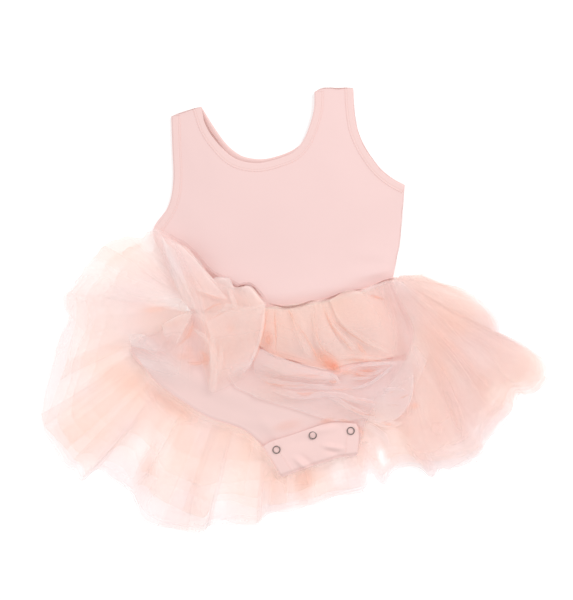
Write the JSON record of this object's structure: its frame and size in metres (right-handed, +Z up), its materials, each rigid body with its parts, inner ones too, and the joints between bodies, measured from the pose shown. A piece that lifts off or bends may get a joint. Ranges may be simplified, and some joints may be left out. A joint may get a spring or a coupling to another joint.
{
  "type": "ballet tutu leotard",
  "caption": "Infant's sleeveless ballet leotard with a gathered, layered tulle skirt and a snap crotch, laid flat on its back with the skirt spread out",
  "frame": {"origin": "the middle of the bounding box in plan, on the surface that the garment lies on", "axes": "+X across the spread skirt towards the wearer's left side, +Y towards the shoulders, +Z up from the surface, out of the garment's front"},
  "size_m": [0.504, 0.4434, 0.0384],
  "materials": {
    "jersey": "matte",
    "tulle": "matte",
    "snap_metal": "satin"
  },
  "bodies": {
    "root": {"bodice_back": "jersey", "bodice_front": "jersey", "neck_band_back": "jersey", "neck_band_front": "jersey", "armhole_band_left": "jersey", "armhole_band_right": "jersey", "brief_back": "jersey", "brief_front": "jersey", "leg_hem_left": "jersey", "leg_hem_right": "jersey", "crotch_tab": "jersey", "leg_band_left": "jersey", "leg_band_right": "jersey", "tulle_back_outer": "tulle", "tulle_back_middle": "tulle", "tulle_back_inner": "tulle", "tulle_front_inner": "tulle", "tulle_front_veil": "tulle", "tulle_front_right": "tulle", "tulle_front_left": "tulle", "tulle_front_fold": "tulle", "snap_left": "snap_metal", "snap_middle": "snap_metal", "snap_right": "snap_metal"}
  },
  "joints": []
}
